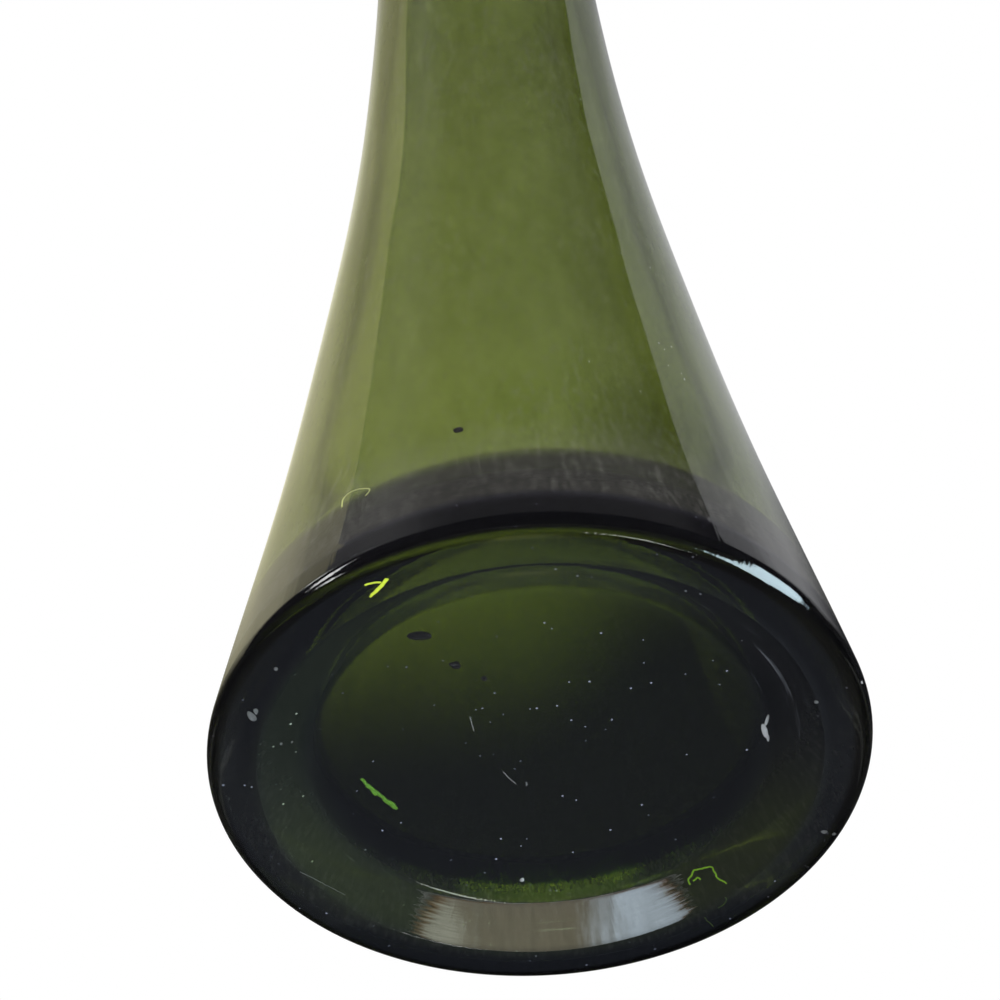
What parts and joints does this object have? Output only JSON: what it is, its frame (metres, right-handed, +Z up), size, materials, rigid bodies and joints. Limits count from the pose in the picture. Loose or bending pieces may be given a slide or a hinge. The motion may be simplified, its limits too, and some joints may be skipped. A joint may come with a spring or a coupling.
{
  "type": "glass vase",
  "caption": "Tall tapering vase of thick clear glass over a green glass core, with a heavy foot that is ground hollow, a narrow neck and a flared mouth.",
  "frame": {"origin": "centre of the ground foot, on the plane that the vase stands on", "axes": "+Z up the axis of revolution, from the foot to the mouth; X and Y are alike"},
  "size_m": [0.09, 0.09, 0.262],
  "materials": {
    "clear_glass": "polished, fine scratches on the ground foot",
    "green_glass": "polished olive green",
    "dark_grain": "opaque, matte, unmelted"
  },
  "bodies": {
    "root": {"clear_casing": "clear_glass", "green_core": "green_glass", "stone_grains": "dark_grain"}
  },
  "joints": []
}
